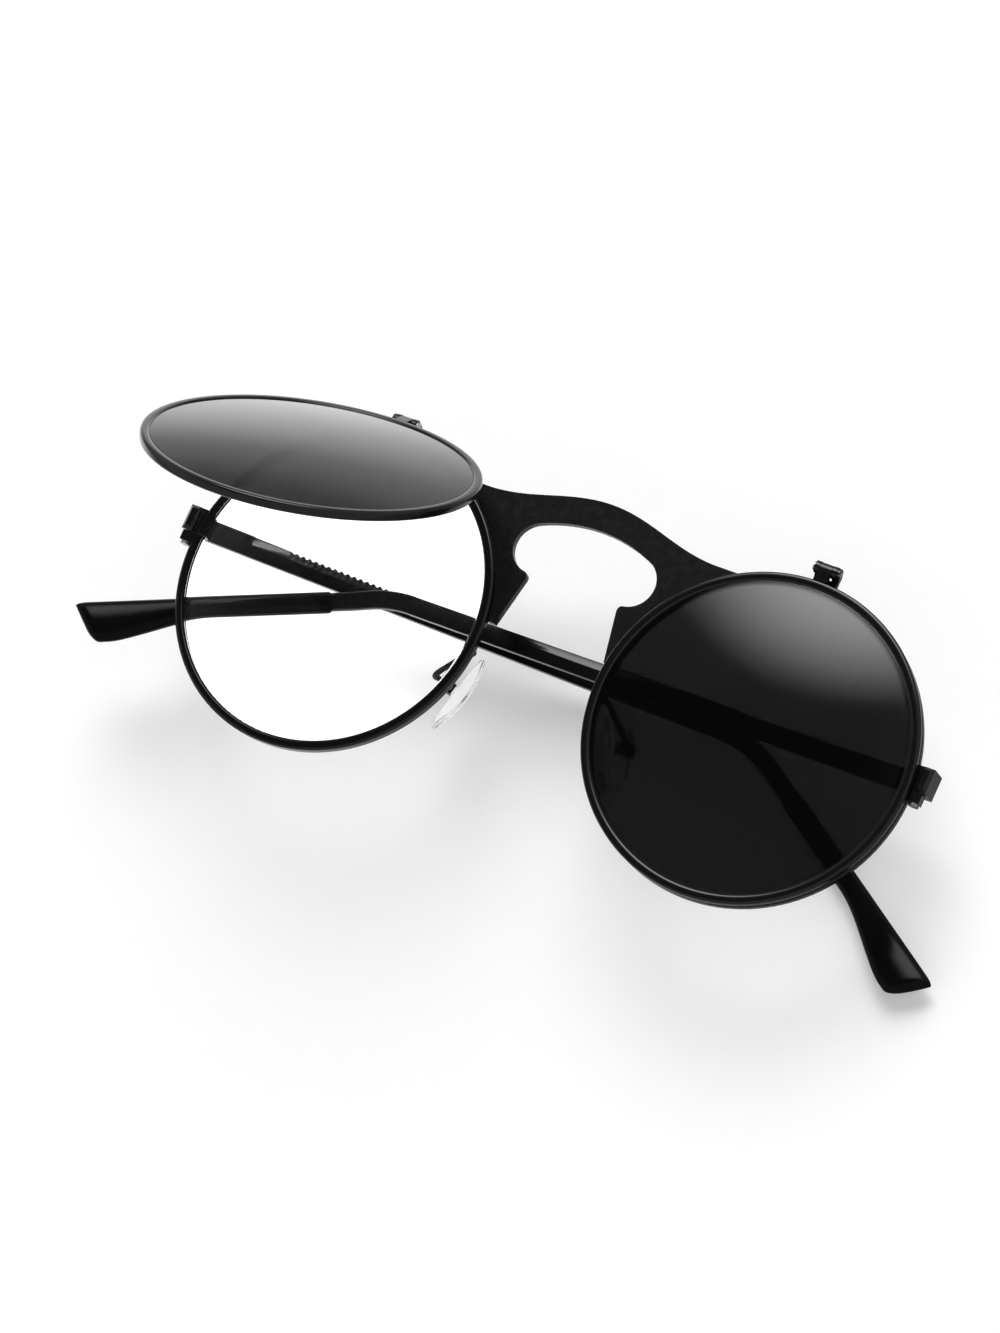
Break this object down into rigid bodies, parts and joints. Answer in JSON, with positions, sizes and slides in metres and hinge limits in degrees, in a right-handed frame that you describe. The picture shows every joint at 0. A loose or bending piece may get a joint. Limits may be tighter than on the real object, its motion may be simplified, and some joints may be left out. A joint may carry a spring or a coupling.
{
  "type": "flip up sunglasses",
  "caption": "Round metal flip up sunglasses, folded, with tinted flip frames hinged above clear lenses.",
  "frame": {"origin": "on the front face of the bridge plate, midway between the lenses and between its brow line and its window", "axes": "+X to the wearer's left, +Y to the top of the glasses, +Z out of the front, which is up as the glasses lie folded"},
  "size_m": [0.1481, 0.0552, 0.066],
  "materials": {
    "black_metal": "satin",
    "screw_steel": "satin",
    "clear_lens": "polished",
    "dark_lens": "polished",
    "pad_silicone": "satin",
    "black_plastic": "gloss"
  },
  "bodies": {
    "front": {"bridge": "black_metal", "right_rim": "black_metal", "left_rim": "black_metal", "right_lens": "clear_lens", "left_lens": "clear_lens", "right_endpiece": "black_metal", "left_endpiece": "black_metal", "right_rim_screw": "screw_steel", "left_rim_screw": "screw_steel", "right_pad_arm": "black_metal", "left_pad_arm": "black_metal", "right_pad_screw": "screw_steel", "left_pad_screw": "screw_steel", "right_front_hinge": "black_metal", "left_front_hinge": "black_metal", "right_hinge_screw": "screw_steel", "left_hinge_screw": "screw_steel", "right_flip_bracket": "black_metal", "left_flip_bracket": "black_metal", "right_flip_pin": "screw_steel", "left_flip_pin": "screw_steel", "right_flip_spring": "black_metal", "left_flip_spring": "black_metal"},
    "right_flip": {"right_flip_knuckle": "black_metal", "right_flip_rim": "black_metal", "right_flip_lens": "dark_lens"},
    "left_flip": {"left_flip_knuckle": "black_metal", "left_flip_rim": "black_metal", "left_flip_lens": "dark_lens"},
    "right_temple": {"right_temple_hinge": "black_metal", "right_temple": "black_metal", "right_temple_core": "black_metal", "right_temple_tip": "black_plastic"},
    "left_temple": {"left_temple_hinge": "black_metal", "left_temple": "black_metal", "left_temple_core": "black_metal", "left_temple_tip": "black_plastic"},
    "right_pad": {"right_nose_pad": "pad_silicone"},
    "left_pad": {"left_nose_pad": "pad_silicone"}
  },
  "joints": [
    {"name": "right_flip_hinge", "type": "hinge", "parent": "front", "child": "right_flip", "pos_m": [-0.03659, 0.00355, 0.00045], "axis": [-0.9988, 0, -0.0489], "range_deg": [-56.2, 33.8]},
    {"name": "left_flip_hinge", "type": "hinge", "parent": "front", "child": "left_flip", "pos_m": [0.03659, 0.00355, 0.00045], "axis": [-0.9988, 0, 0.0489], "range_deg": [0, 90]},
    {"name": "right_temple_fold", "type": "hinge", "parent": "front", "child": "right_temple", "pos_m": [-0.06245, -0.02125, -0.0055], "axis": [0, 1, 0], "range_deg": [0, 83.2]},
    {"name": "left_temple_fold", "type": "hinge", "parent": "front", "child": "left_temple", "pos_m": [0.06245, -0.02125, -0.0055], "axis": [0, -1, 0], "range_deg": [0, 89.2]},
    {"name": "right_pad_rock", "type": "hinge", "parent": "front", "child": "right_pad", "pos_m": [-0.01556, -0.03121, -0.0081], "axis": [0.3635, -0.0906, 0.9272], "range_deg": [-8, 8]},
    {"name": "left_pad_rock", "type": "hinge", "parent": "front", "child": "left_pad", "pos_m": [0.01556, -0.03121, -0.0081], "axis": [-0.3635, -0.0906, 0.9272], "range_deg": [-8, 8]}
  ],
  "couplings": [
    {"joint": "left_temple_fold", "follows": "right_temple_fold", "ratio": 0.3}
  ]
}
